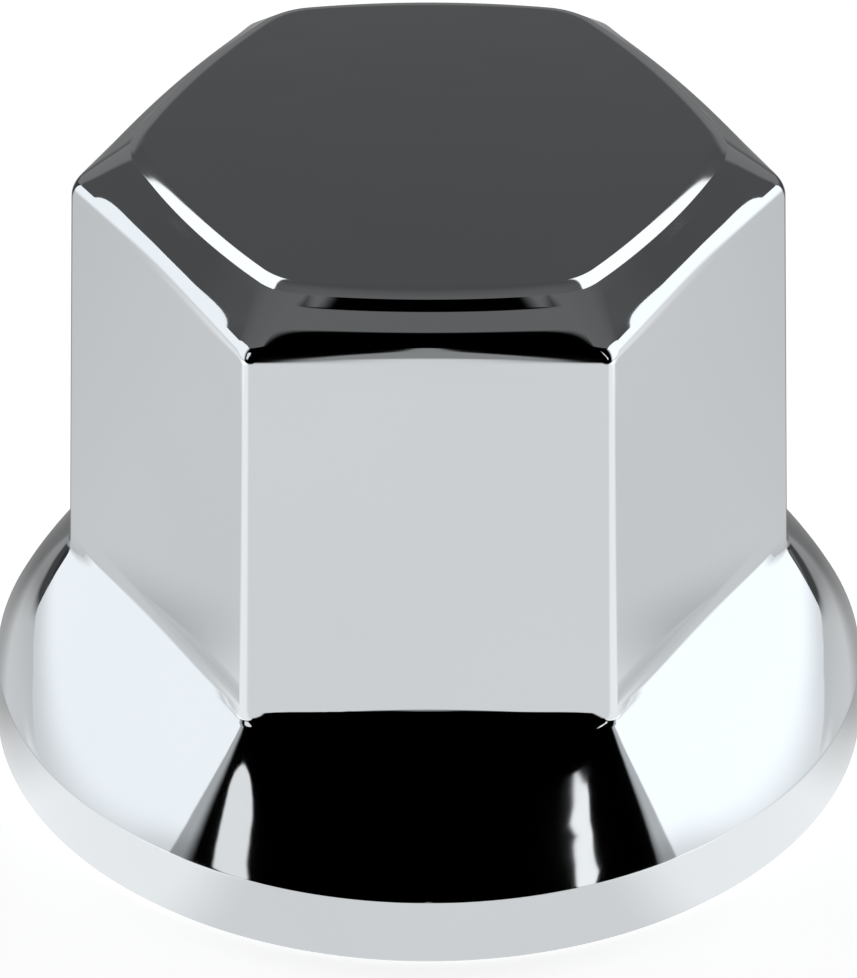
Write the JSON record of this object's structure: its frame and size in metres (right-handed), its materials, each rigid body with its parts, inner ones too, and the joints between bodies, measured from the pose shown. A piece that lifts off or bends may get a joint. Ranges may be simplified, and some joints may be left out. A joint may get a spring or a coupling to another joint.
{
  "type": "wheel nut cover cap",
  "caption": "Hollow chrome-plated cover cap for a wheel nut: a hexagonal body with a raised flat top, a flared round foot and a gripping hexagonal socket.",
  "frame": {"origin": "middle of the round rim, in the plane of its lower edge", "axes": "+Z along the cap's axis from the open foot to the pad; one facet faces -Y and another +Y; corners point along -X and +X"},
  "size_m": [0.054, 0.054, 0.0416],
  "materials": {
    "chrome_plating": "bright mirror chrome plating on moulded ABS"
  },
  "bodies": {
    "root": {"nut_cover_cap": "chrome_plating"}
  },
  "joints": []
}
